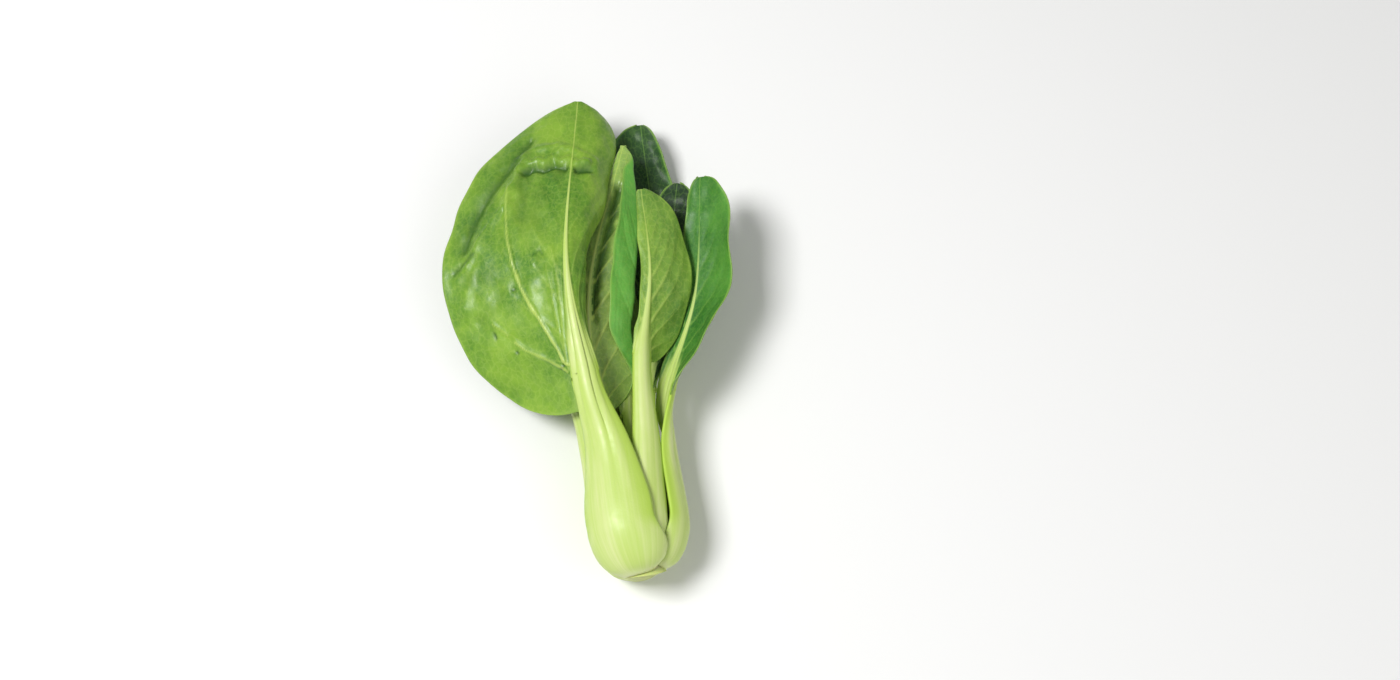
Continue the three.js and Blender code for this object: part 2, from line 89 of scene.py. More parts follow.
# One entry a leaf, outermost first, with the solids' values. A stalk has the degrees by which it stands
# aside of its place in the spiral and leans at the waist, how far out it stands, and the degrees of the bulb
# that it spans to each side. Neck, belly and tip are x, y, z and the direction that the back faces. Pairs are
# the left and the right side seen from the back with the tip up: the blade's width, the powers that shape its
# outline at the base and at the end, how far its lobe hangs, and how far it turns in at the neck, the belly
# and the tip. A ruffle has its height, number of waves and phase, and a fold its side, start, end and angle.
# The last line of each is its finish: first how much its green is darkened, partly its own deeper tone and
# partly painted shade where the leaf lies in shadow, crumple the height of its wrinkles, streak that of the
# ridges on its stalk, veins how plain its side veins are, sheath how much wider its base is, and young how
# pale it still is.
leaves = [
    {"aside": 3, "lean": 0, "out": 0, "span": 43,
     "neck": (-12, 77.5, 40, 102), "belly": (-12.5, 126, 46, 96), "tip": (1, 200, 31, 92),
     "neckWidth": 5.6, "width": (53, 20), "base": (0.45, 1.6), "end": (0.66, 0.42), "lobe": (14, 1),
     "turn": ((-18, 40), (14, 88), (24, 62)), "ruffle": (1.1, 3.2, 0.1),
     "toneAndShade": 0.05, "crumple": 0.55, "streak": 0.3, "veins": 0.4, "sheath": 0.5, "young": 0},
    {"aside": 0, "lean": 0, "out": 0, "span": 50,
     "neck": (-13, 78, 3.6, 250), "belly": (-28, 132, 0.8, 266), "tip": (-34, 182, 9, 264),
     "neckWidth": 6.5, "width": (27, 27), "base": (0.8, 0.8), "end": (0.5, 0.5), "lobe": (4, 4),
     "turn": ((-25, -25), (16, 16), (20, 20)), "ruffle": (1.6, 3.4, 0.5),
     "toneAndShade": 0.5, "crumple": 0.8, "streak": 0.25, "veins": 0.9, "sheath": 0.3, "young": 0},
    {"aside": -18, "lean": 3, "out": 0, "span": 34,
     "neck": (19.5, 71, 23, -40), "belly": (36.5, 110, 24, -62), "tip": (46, 158, 31, -60),
     "neckWidth": 5.2, "width": (17, 6), "base": (0.5, 0.9), "end": (0.4, 0.4), "lobe": (3, 0),
     "turn": ((0, 10), (26, 26), (20, 20)), "ruffle": (1.6, 2.6, 0.2),
     "toneAndShade": 0.35, "crumple": 0.6, "streak": 0.25, "veins": 0.7, "sheath": 0.35, "young": 0},
    {"aside": 6, "lean": 0, "out": 0, "span": 50,
     "neck": (-19, 78, 18, 185), "belly": (-33, 124, 15, 238), "tip": (-36, 166, 17, 240),
     "neckWidth": 6, "width": (18, 16), "base": (0.8, 0.8), "end": (0.5, 0.5), "lobe": (3, 3),
     "turn": ((-15, -15), (20, 20), (20, 20)), "ruffle": (1.4, 3, 0.7),
     "toneAndShade": 0.5, "crumple": 0.7, "streak": 0.25, "veins": 0.9, "sheath": 0.1, "young": 0},
    {"aside": 2, "lean": -2, "out": 0, "span": 50,
     "neck": (11, 80, 4.4, 290), "belly": (24, 136, 1.2, 276), "tip": (26, 195, 13, 270),
     "neckWidth": 5.5, "width": (10, 22), "base": (0.8, 0.8), "end": (0.5, 0.5), "lobe": (3, 3),
     "turn": ((-20, -20), (20, 20), (24, 24)), "ruffle": (1.6, 3, 0.3),
     "toneAndShade": 0.9, "crumple": 0.7, "streak": 0.25, "veins": 0.8, "sheath": 0.1, "young": 0},
    {"aside": -7, "lean": -13, "out": 3, "span": 26.5,
     "neck": (11.5, 84, 32, 66), "belly": (19.3, 118, 36, 76), "tip": (20.8, 153, 37, 82),
     "neckWidth": 3.9, "width": (3, 18), "base": (0.9, 0.5), "end": (0.5, 0.5), "lobe": (0, 2),
     "turn": ((-10, -20), (40, 24), (40, 24)), "ruffle": (0.8, 2.4, 0.8),
     "toneAndShade": 0.25, "crumple": 0.5, "streak": 0.25, "veins": 0.6, "sheath": 0.0, "young": 0.1},
    {"aside": 0, "lean": 0, "out": 0, "span": 50,
     "neck": (-12, 74, 15.5, 215), "belly": (-14, 114, 20, 236), "tip": (-17, 154, 22, 244),
     "neckWidth": 4.5, "width": (8, 11), "base": (0.8, 0.8), "end": (0.5, 0.5), "lobe": (2, 2),
     "turn": ((-10, -10), (24, 24), (20, 20)), "ruffle": (1.2, 2.8, 0.6),
     "toneAndShade": 0.6, "crumple": 0.5, "streak": 0.2, "veins": 0.8, "sheath": 0, "young": 0.2},
    {"aside": 0, "lean": 0, "out": 0, "span": 50,
     "neck": (12, 76, 14, -52), "belly": (25, 116, 12.5, -74), "tip": (37, 163, 18, -78),
     "neckWidth": 4.5, "width": (13, 11), "base": (0.8, 0.8), "end": (0.5, 0.5), "lobe": (2, 2),
     "turn": ((-15, -15), (20, 20), (20, 20)), "ruffle": (1.2, 2.8, 0.1),
     "toneAndShade": 1, "crumple": 0.5, "streak": 0.2, "veins": 0.8, "sheath": 0, "young": 0},
    {"aside": 0, "lean": -12, "out": 0, "span": 50,
     "neck": (-8.5, 67, 24.5, 98), "belly": (-5, 118, 29.5, 92), "tip": (17, 180, 25, 92),
     "neckWidth": 3.6, "width": (6, 29), "base": (0.7, 0.75), "end": (0.9, 0.9), "lobe": (0, 2),
     "turn": ((10, -20), (70, 4), (60, 4)), "ruffle": (0.5, 3, 0.4), "fold": (1, 0.53, 0.69, -168),
     "toneAndShade": 0, "crumple": 0.35, "streak": 0.2, "veins": 0.7, "sheath": 0, "young": 0.45},
    {"aside": 0, "lean": 0, "out": 0, "span": 50,
     "neck": (-0.5, 66, 12, 266), "belly": (0.5, 98, 11.5, 268), "tip": (-0.5, 130, 14, 270),
     "neckWidth": 3.5, "width": (6.5, 7), "base": (0.8, 0.8), "end": (0.5, 0.5), "lobe": (1, 1),
     "turn": ((0, 0), (36, 36), (30, 30)), "ruffle": (0.8, 2.4, 0.3),
     "toneAndShade": 0.6, "crumple": 0.3, "streak": 0.2, "veins": 0.8, "sheath": 0, "young": 0.5},
    {"aside": 0, "lean": 0, "out": 0, "span": 50,
     "neck": (3, 64, 19.5, 40), "belly": (6.5, 92, 20, 60), "tip": (9, 120, 21, 70),
     "neckWidth": 3.2, "width": (6.5, 7), "base": (0.8, 0.8), "end": (0.5, 0.5), "lobe": (1, 1),
     "turn": ((0, 0), (36, 36), (30, 30)), "ruffle": (0.8, 2.4, 0.6),
     "toneAndShade": 0.6, "crumple": 0.3, "streak": 0.2, "veins": 0.8, "sheath": 0, "young": 0.5},
]

# Lines and patches on single leaves, which are numbered from 0: most are on the large upper leaf, and the
# last is the groove beside the heart leaf's rib, painted as the shadow that the large leaf's margin casts
# there.
# Each has points across and along its leaf (left of the rib is below 0), then its width and height in
# millimetres, how pale it is and how much painted shade it carries. On the large leaf the veins come first,
# then the folds and small marks, whose creases and dents carry painted shade, and then the patches of
# painted shade.
marks = {
    0: [
        (((0, 0.0), (-0.1, 0.05), (-0.19, 0.145), (-0.27, 0.238), (-0.35, 0.32), (-0.4, 0.4), (-0.46, 0.5),
          (-0.5, 0.58), (-0.54, 0.66)), 0.6, 0.35, 0.8, 0),
        (((-0.1, 0.02), (-0.18, 0.045), (-0.36, 0.108), (-0.48, 0.15), (-0.54, 0.185)), 0.6, 0.3, 0.6, 0),
        (((-0.05, 0.02), (-0.05, 0.098), (-0.04, 0.2), (-0.04, 0.285), (-0.06, 0.36), (-0.09, 0.415)),
         0.6, 0.25, 0.45, 0),
        (((-0.06, 0.05), (-0.08, 0.148), (-0.09, 0.21), (-0.1, 0.29), (-0.13, 0.36)), 0.6, 0.2, 0.35, 0),
        (((-0.35, 0.32), (-0.42, 0.4), (-0.5, 0.47), (-0.56, 0.53)), 0.6, 0.2, 0.4, 0),
        (((-0.42, 0.69), (-0.36, 0.66), (-0.28, 0.645)), 0.7, 0.15, 0.5, 0),
        (((-0.46, 0.715), (-0.38, 0.725), (-0.26, 0.715), (-0.15, 0.732), (-0.05, 0.72), (0.04, 0.71),
          (0.16, 0.715), (0.4, 0.72)), 1.8, -2.2, 0, 1),
        (((-0.62, 0.775), (-0.54, 0.81), (-0.35, 0.805), (-0.17, 0.815), (0, 0.795), (0.29, 0.775),
          (0.45, 0.77)), 1.5, 0.7, 0.15, 0),
        (((-0.56, 0.735), (-0.5, 0.765), (-0.4, 0.75), (-0.35, 0.76), (-0.27, 0.745), (-0.19, 0.77),
          (-0.1, 0.745), (-0.03, 0.76), (0.1, 0.74), (0.3, 0.75)), 1.0, 0.8, 0.2, 0),
        (((-0.6, 0.845), (-0.62, 0.775), (-0.66, 0.705), (-0.72, 0.649), (-0.78, 0.58), (-0.8, 0.53),
          (-0.82, 0.485)), 2.4, -1.6, 0, 0.8),
        (((-0.47, 0.729), (-0.51, 0.659), (-0.54, 0.598), (-0.6, 0.552), (-0.69, 0.5), (-0.78, 0.438)),
         1.7, 1.0, 0.2, 0),
        (((-0.9, 0.43), (-0.8, 0.445), (-0.73, 0.465)), 1.0, -0.7, 0, 0.7),
        (((-0.2, 0.385), (-0.225, 0.4), (-0.245, 0.39), (-0.23, 0.375), (-0.205, 0.38)), 0.7, 0.5, 0.2, 0),
        (((-0.24, 0.4), (-0.18, 0.42), (-0.16, 0.4)), 0.6, -0.4, 0, 0.4),
        (((-0.15, 0.789), (-0.1, 0.8)), 1.4, 0.9, 0.1, 0),
        (((0.2, 0.755), (0.26, 0.75)), 1.6, 0.9, 0.1, 0),
        (((-0.27, 0.26), (-0.27, 0.32)), 3.0, 0.6, 0.1, 0),
        (((-0.4, 0.32), (-0.42, 0.323)), 0.8, -0.7, 0, 0.8),
        (((-0.68, 0.222), (-0.68, 0.235)), 0.6, -0.6, 0, 1),
        (((-0.56, 0.155), (-0.57, 0.16)), 0.6, -0.5, 0, 1),
        (((-0.2, 0.045), (-0.16, 0.042), (-0.12, 0.05)), 0.6, -0.4, 0, 1),
        (((-0.66, 0.258), (-0.6, 0.23), (-0.57, 0.21)), 0.5, 0.3, 0.5, 0),
        (((-0.75, 0.28), (-0.62, 0.3), (-0.5, 0.33)), 2.5, -0.5, 0, 0.15),
        (((-0.86, 0.33), (-0.78, 0.37), (-0.72, 0.42)), 2.2, 0.6, 0, 0),
        (((-0.62, 0.82), (-0.66, 0.72), (-0.74, 0.63), (-0.82, 0.52)), 5.0, 0, 0, 0.4),
        (((-0.42, 0.699), (-0.38, 0.622), (-0.36, 0.552)), 4.0, -0.6, 0, 0.4),
        (((-0.24, 0.62), (-0.27, 0.5)), 5.0, 0, 0, 0.25),
        (((-0.75, 0.4), (-0.6, 0.388)), 4.0, 0, 0, 0.3),
        (((-0.15, 0.69), (-0.1, 0.69)), 4.0, -0.4, 0, 0.35),
        (((0.26, 0.42), (0.36, 0.33)), 3.2, 0, 0, 0.3),
        (((0.6, 0.27), (0.41, 0.24), (0.23, 0.2), (0.1, 0.15), (0.04, 0.1)), 2.2, -0.4, 0, 0.6),
    ],
    8: [
        # painted shade: a groove darkened as the shadow that the large leaf's margin casts beside the rib
        (((0.02, 0.33), (0.05, 0.45), (0.09, 0.58), (0.12, 0.7), (0.14, 0.82)), 2.6, -2.4, 0, 0.95),
    ],
}

# The fine surface that every leaf gets. Lengths are in millimetres.
leafFinish = {
    "cell": 0.62,  # size of the mesh's cells on a blade
    "leastColumns": 12,
    "stalkDensity": 0.018,  # columns of a stalk, for each degree and each millimetre of its bulb's radius
    "bulbRows": 24,
    "stalkRows": 44,
    "bladeWall": 0.55,  # thickness between the veins
    "marginWall": 0.4,
    "veinWall": 0.3,  # how much thicker the leaf is at a vein
    "veinHeight": 0.5,  # how far the side veins stand out of the back
    "veinWidth": 0.75,
    "veinThins": 0.6,  # share of its width that a vein loses on its way to the margin
    "veinFades": 0.75,  # and of its strength
    "veinStarts": (0.025, 0.1, 0.2, 0.32, 0.45, 0.57, 0.69, 0.8),  # along the rib, as shares of the blade
    "veinAngles": (66, 42, 33, 31, 30, 30, 30, 30),  # away from the rib
    "veinRise": (0.3, 0.6),  # how much they bend towards the tip
    "startWander": 0.012,  # how far their starts and angles may be off
    "angleWander": 3,
    "branchStarts": (0.3, 0.55),  # across the blade, as shares of it
    "branchTurns": (-0.5, 0.6),  # how much less or more they rise than their vein
    "branchWander": 0.08,
    "branch": (0.55, 0.6),  # their strength and width, as shares of their vein's
    "between": (0.4, 0.55),  # the same for the thin vein between two side veins
    "betweenStart": 0.05,
    "betweenWander": 0.01,
    "betweenSlope": 1.1,
    "pillow": 0.3,  # how far the leaf swells towards its face between two veins
    "pillowReach": (0.3, 5),  # how far beside a vein it starts and is full
    "pillowLevel": 0.6,  # share of it that is taken back everywhere, so that the leaf stays in its place
    "uneven": 0.35,  # how far the margin wanders
    "unevenWave": 20,
    "waves": 9,  # how many waves add up to a random surface
    "wrinkleHeight": 0.35,
    "wrinkleWaves": (15, 6.5),  # the coarse and the fine ones
    "fineShare": 0.45,
    "ridgeWave": 5.5,
    "ridgeSlant": 0.02,
    "ridgeEnd": 0.35,  # share of the blade's length at which they have gone
    "bulbRidges": 0.35,  # how plain their colour is on the bulb
    "ridgeSpan": 12,  # what a stalk counts as to each side, whatever its width
    "flankAcross": (0.35, 0.8),  # shares of the rib's half between which its flanks turn green
    "sheathDepth": 3,  # how far the outer bases close up against the next ones
    "markWave": 9,
    "markWander": 0.2,  # how far a mark's width wanders, as a share of it
    "lineWidth": 0.4,  # of the pale line that the rib ends as
    "lineStrength": 0.55,
    "footLength": 5,  # of the whitish foot
    "ruffleStep": 0.23,  # how far the two sides' ruffles are out of step, in waves
    "clearance": 0.3,  # between a lobe that hangs and its stalk
    "marginBand": (0.2, 1.1),  # width of the pale margin
    "patternStep": 40,  # how far apart the leaves lie in the patterns, so that no two are alike
}

# Where the random numbers start, to which a leaf's or a mark's number is added. The veins' is multiplied.
seeds = {"ridges": 40, "wrinkles": 60, "fineWrinkles": 80, "veins": 100, "marks": 200, "margins": 300}


def blend(a, b, share):
    return a + (b - a) * share


def smooth(x, low, high):
    t = np.clip((x - low) / (high - low), 0, 1)
    return t * t * (3 - 2 * t)


# Waves of several directions added up: a smooth random height between about -1 and 1.
def wrinkles(u, y, size, seed):
    draw = np.random.default_rng(seed)
    total = np.zeros_like(u)
    for i in range(leafFinish["waves"]):
        angle = draw.uniform(0, math.pi)
        pace = 2 * math.pi / size * draw.uniform(0.6, 1.5)
        phase = draw.uniform(0, 2 * math.pi)
        total += np.sin(pace * (u * math.cos(angle) + y * math.sin(angle)) + phase)
    return total / math.sqrt(leafFinish["waves"])


# A smooth line through the points, read at shares of it between 0 and 1.
def curveAt(points, share):
    points = np.asarray(points, float)
    place = np.clip(share, 0, 1) * (len(points) - 1)
    k = np.minimum(place.astype(int), len(points) - 2)
    w = (place - k)[:, None]
    longer = np.vstack([2 * points[0] - points[1], points, 2 * points[-1] - points[-2]])
    p0, p1, p2, p3 = longer[k], longer[k + 1], longer[k + 2], longer[k + 3]
    t0, t1 = (p2 - p0) / 2, (p3 - p1) / 2
    return p1 + t0 * w + (3 * p2 - 3 * p1 - 2 * t0 - t1) * w**2 + (2 * p1 - 2 * p2 + t0 + t1) * w**3


def roundAxis(radius, angle, along):
    return np.stack([
        radius * np.cos(angle) * head["widen"],
        along + 0 * radius,
        head["axisHeight"] + radius * np.sin(angle) * head["flatten"],
    ], -1)


# The rib's line, what changes along it, and the lengths at which the leaf's stretches begin.
def spineOf(leaf, n):
    angle = math.radians(head["firstLeafAngle"] + n * head["turnPerLeaf"] + leaf["aside"])
    radius = head["bulbRadius"] - n * head["radiusStep"] + leaf["out"]
    startRadius = head["stemRadius"] - head["stemStep"] * n
    startAlong = head["rootCut"] + head["stemRise"] * n
    points = []
    for a in np.linspace(0, math.pi / 2, 4):
        points.append(roundAxis(
            blend(startRadius, radius, math.sin(a)),
            angle,
            blend(startAlong, head["bulbTop"], 1 - math.cos(a)),
        ))
    points.append(roundAxis(radius * head["waistShare"], angle + math.radians(leaf["lean"]), head["waist"]))
    stations = [leaf["neck"], leaf["belly"], leaf["tip"]]
    start = math.degrees(angle)
    traits = [(start, *leaf["turn"][0])] * len(points)
    for station, turn in zip(stations, leaf["turn"]):
        traits.append((station[3] - 360 * round((station[3] - start) / 360), *turn))
        points.append(np.array(station[:3], float))
    steps = 280
    shares = np.linspace(0, 1, steps + 1)
    gaps = np.linalg.norm(np.diff(curveAt(points, shares), axis=0), axis=1)
    lengths = np.concatenate([[0], np.cumsum(gaps)])
    top, waist, neck = lengths[[round(steps * k / (len(points) - 1)) for k in (3, 4, 5)]]
    return {"radius": radius, "points": points, "traits": traits, "shares": shares, "lengths": lengths,
            "top": top, "waist": waist, "neck": neck, "end": lengths[-1]}


# How far a place lies beyond the neck, as a share of the blade's length.
def beyondNeck(spine, length):
    return (length - spine["neck"]) / (spine["end"] - spine["neck"])


def unit(v):
    return v / np.linalg.norm(v, axis=1, keepdims=True)


# Place, directions and traits of the rib at lengths along it.
def ribAt(leaf, spine, length):
    inside = np.clip(length, 0, spine["end"])
    share = np.interp(inside, spine["lengths"], spine["shares"])
    step = 1e-4
    along = unit(curveAt(spine["points"], share + step) - curveAt(spine["points"], share - step))
    face, left, right = np.radians(curveAt(spine["traits"], share)).T
    back = np.stack([np.cos(face), 0 * face, np.sin(face)], -1)
    back = unit(back - along * np.sum(back * along, axis=1, keepdims=True))
    beyond = np.clip(beyondNeck(spine, inside), 0, 1)
    closing = blend(leaf["span"], head["neckHollow"], smooth(inside, spine["top"], spine["neck"]))
    hollow = np.where(inside <= spine["neck"], closing, head["neckHollow"] * (1 - beyond) ** 3)
    place = curveAt(spine["points"], share) + along * (length - inside)[:, None]
    return {"place": place, "back": back, "side": np.cross(along, back), "left": left, "right": right,
            "hollow": np.radians(hollow)}


# Half the width of the stalk, or of the rib that it runs on as.
def stalkHalf(leaf, spine, length):
    bulb = spine["radius"] * math.radians(leaf["span"])
    below = blend(bulb, leaf["neckWidth"], smooth(length, spine["top"], spine["neck"]))
    left = np.clip(1 - beyondNeck(spine, length) / head["ribEnd"], 0, None)
    above = blend(head["ribPoint"], leaf["neckWidth"], left ** head["widthFall"])
    return np.where(length <= spine["neck"], below, above)


def stalkThickness(leaf, spine, n, length):
    wall = head["stalkWall"] - n * head["wallStep"]
    foot = blend(head["footShare"], 1, smooth(length, 0, spine["top"]))
    below = wall * foot * blend(1, head["neckShare"], length / spine["neck"])
    left = np.clip(1 - beyondNeck(spine, length) / head["ribEnd"], 0, None)
    above = blend(head["stalkEdge"], wall * head["neckShare"], left ** head["wallFall"])
    return np.where(length <= spine["neck"], below, above)


def bladeHalf(leaf, k, v):
    base, end = leaf["base"][k], leaf["end"][k]
    widest = base / (base + end)
    shape = v**base * (1 - v) ** end
    return leaf["width"][k] * shape / (widest**base * (1 - widest) ** end)


# How far a side of the leaf has turned in at a distance from the rib's middle.
def turned(leaf, rib, side, distance, stalk, blade, delay):
    hollow = rib["hollow"] * np.minimum(distance / stalk, 1)
    x = np.clip((distance - stalk) / np.maximum(blade, 1e-6), 0, None)
    turn = hollow + np.where(side < 0, rib["left"], rib["right"]) * x
    if "fold" not in leaf:
        return turn
    foldSide, start, end, angle = leaf["fold"]
    return turn + np.where(side == foldSide, math.radians(angle) * smooth(x - delay, start, end), 0)


# Points of the leaf's middle surface. All the values are arrays of one length.
def leafPoints(leaf, spine, length, side, distance, stalk, blade, wave, delay):
    rib = ribAt(leaf, spine, length)
    steps = 20
    sideways, inwards = np.zeros_like(length), np.zeros_like(length)
    for i in range(steps):
        angle = turned(leaf, rib, side, (i + 0.5) / steps * distance, stalk, blade, delay)
        sideways += np.cos(angle) * distance / steps
        inwards += np.sin(angle) * distance / steps
    angle = turned(leaf, rib, side, distance, stalk, blade, delay)
    free = (
        rib["place"]
        + rib["side"] * (side * (sideways + wave * np.sin(angle)))[:, None]
        + rib["back"] * (wave * np.cos(angle) - inwards)[:, None]
    )
    share = smooth(length, spine["top"], spine["waist"])[:, None]
    x = rib["place"][:, 0] / head["widen"]
    z = (rib["place"][:, 2] - head["axisHeight"]) / head["flatten"]
    bulb = roundAxis(np.hypot(x, z), np.arctan2(z, x) - side * distance / spine["radius"], rib["place"][:, 1])
    return blend(bulb, free, share)


# Side veins of one half of the blade, at x across it and v along it: how much of a vein is there, and how far
# the nearest large one is.
def veinsAt(leaf, spine, n, k, x, v):
    finish = leafFinish
    length = spine["end"] - spine["neck"]
    width = leaf["width"][k]
    draw = np.random.default_rng(seeds["veins"] * n + k)
    mask = np.zeros_like(x)
    nearest = np.full_like(x, np.inf)
    across = np.clip(x, 0, 1)

    def addVein(xStart, vStart, slope, rise, strength, size):
        nonlocal mask
        run = np.clip(x - xStart, 0, None)
        line = vStart + slope * run + rise * run**3
        steep = (slope + 3 * rise * run**2) * length / width
        away = (v - line) * length / np.sqrt(1 + steep**2)
        away = np.hypot(away, np.clip(xStart - x, 0, None) * width)
        thin = finish["veinWidth"] * size * (1 - finish["veinThins"] * across)
        fade = 1 - finish["veinFades"] * across**1.5
        mask = np.maximum(mask, strength * fade * np.exp(-(away / thin) ** 2))
        return np.abs(away)

    def off(name):
        return draw.uniform(-finish[name], finish[name])

    for start, angle in zip(finish["veinStarts"], finish["veinAngles"]):
        start += off("startWander")
        slope = width / length / math.tan(math.radians(angle + off("angleWander")))
        rise = slope * draw.uniform(*finish["veinRise"])
        nearest = np.minimum(nearest, addVein(0, start, slope, rise, 1, 1))
        for xStart in finish["branchStarts"]:  # branches on both sides of it
            xStart += off("branchWander")
            vStart = start + slope * xStart + rise * xStart**3
            for turn in finish["branchTurns"]:
                addVein(xStart, vStart, slope * (1 + turn), rise, *finish["branch"])
        middle = start + finish["betweenStart"] + off("betweenWander")
        addVein(0, middle, slope * finish["betweenSlope"], rise, *finish["between"])
    return mask, nearest


# The wrinkles of a whole leaf
def roughness(u, length, n):
    coarse, fine = leafFinish["wrinkleWaves"]
    small = leafFinish["fineShare"] * wrinkles(u, length, fine, seeds["fineWrinkles"] + n)
    return leafFinish["wrinkleHeight"] * (wrinkles(u, length, coarse, seeds["wrinkles"] + n) + small)


# What the marks of one half of a leaf add, at places given by u across and l along it: height, paleness and
# painted shade, which darkens their creases, dents and patches.
def marksAt(leaf, spine, n, u, l):
    height, pale, markShade = np.zeros_like(u), np.zeros_like(u), np.zeros_like(u)
    for i, (points, wide, high, tone, shade) in enumerate(marks.get(n, ())):
        nearest = np.full_like(u, np.inf)
        x, v = np.array(points, float).T
        k = (x > 0).astype(int)
        length = blend(spine["neck"], spine["end"], v)
        half = np.where(k == 0, bladeHalf(leaf, 0, v), bladeHalf(leaf, 1, v))
        rib = stalkHalf(leaf, spine, length) * np.minimum(np.abs(x) * 20, 1)  # x = 0 is the rib's middle
        place = np.sign(x) * rib + half * x
        hang = np.where(k == 0, leaf["lobe"][0], leaf["lobe"][1])
        length = length - hang * (1 - v) ** 2 * np.abs(x) ** 1.3
        for a, b in zip(zip(place[:-1], length[:-1]), zip(place[1:], length[1:])):
            du, dl = b[0] - a[0], b[1] - a[1]
            along = np.clip(((u - a[0]) * du + (l - a[1]) * dl) / (du * du + dl * dl), 0, 1)
            nearest = np.minimum(nearest, np.hypot(u - a[0] - along * du, l - a[1] - along * dl))
        wander = leafFinish["markWander"] * wrinkles(u, l, leafFinish["markWave"], seeds["marks"] + i)
        shape = np.exp(-((nearest / wide / (1 + wander)) ** 2))
        height += high * shape
        pale = np.maximum(pale, tone * shape)
        markShade = np.maximum(markShade, shade * shape)
    return height, pale, markShade


# A flat grid, whose vertices are set in place later. In edit mode it joins the edited mesh.
def addGrid(rows, columns):
    bpy.ops.mesh.primitive_grid_add(x_subdivisions=columns, y_subdivisions=rows, size=2)


# Rows of the blade as shares of its length, closer together at both ends.
def bladeRows(count):
    return 0.9995 * (1 - np.cos(np.linspace(0, math.pi, count + 1))) / 2


# All that the grid of the stalk holds, point by point.
def stalkField(leaf, spine, n, lengths, columns):
    finish = leafFinish
    length, across = [a.ravel() for a in np.meshgrid(lengths, np.linspace(-1, 1, columns + 1), indexing="ij")]
    base = 1 - smooth(length, *head["footSheath"])
    stalk = stalkHalf(leaf, spine, length) * (1 + leaf["sheath"] * base)
    side = np.where(across < 0, -1.0, 1.0)
    zero = np.zeros_like(length)
    distance = stalk * np.abs(across)
    u = side * distance
    place = leafPoints(leaf, spine, length, side, distance, stalk, zero + 1, zero, zero)
    margin = head["stalkEdge"] * (1 - 0.5 * base)
    thick = blend(margin, stalkThickness(leaf, spine, n, length), 1 - across**2)
    beyond = np.clip(beyondNeck(spine, length), 0, 1)
    last = smooth(beyond, *head["ribFade"])
    thick = blend(thick, np.minimum(thick, head["stalkEdge"]), last)

    # Ridges run the length of the stalk, fading at the bulb's foot and along its margins.
    span, slant = finish["ridgeSpan"], finish["ridgeSlant"]
    ridge = wrinkles(across * span, slant * length, finish["ridgeWave"], seeds["ridges"] + n)
    fade = smooth(length, 0.3 * spine["top"], spine["waist"]) * (1 - across**4)
    relief = leaf["streak"] * ridge * fade * (1 - smooth(beyond, 0, finish["ridgeEnd"]))
    relief -= finish["sheathDepth"] * leaf["sheath"] * base * across**4
    high, pale, markShade = marksAt(leaf, spine, n, u, length)
    relief += last * (leaf["crumple"] * roughness(u, length, n) + high)

    # The pale part of the rib narrows to a fine line, and the side veins cross its green flanks.
    flank = smooth(np.abs(across), *finish["flankAcross"]) * smooth(beyond, *head["flankStart"])
    thin = smooth(beyond, *head["lineStart"])
    line = blend(1, finish["lineStrength"] * np.exp(-((distance / finish["lineWidth"]) ** 2)), thin)
    plain = blend(finish["bulbRidges"], 1, smooth(length, spine["top"], spine["waist"]))
    joins = np.where(side < 0, *[veinsAt(leaf, spine, n, k, zero, beyond)[0] for k in (0, 1)])
    return {
        "place": place,
        "thick": thick,
        "relief": relief,
        "blade": np.maximum(smooth(beyond, 0.3, 0.8), flank),
        "vein": np.maximum(line * (1 - flank), leaf["veins"] * joins * flank * (1 - thin)),
        "streak": 0.5 + 0.5 * np.clip(ridge, -1, 1) * plain,
        "edge": np.abs(across) * (1 - smooth(beyond, 0, 0.1)) * (1 - base),
        # Painted shade of a leaf in shadow, with some of its own deeper tone, and the painted shade of the
        # marks
        "toneAndShade": zero + leaf["toneAndShade"],
        "paintedShade": markShade * last,
        "young": zero + leaf["young"],
        "margin": zero,
        "foot": 1 - smooth(length, 0, finish["footLength"]),
        "flat": np.stack([u, length, zero + finish["patternStep"] * n], -1),
    }


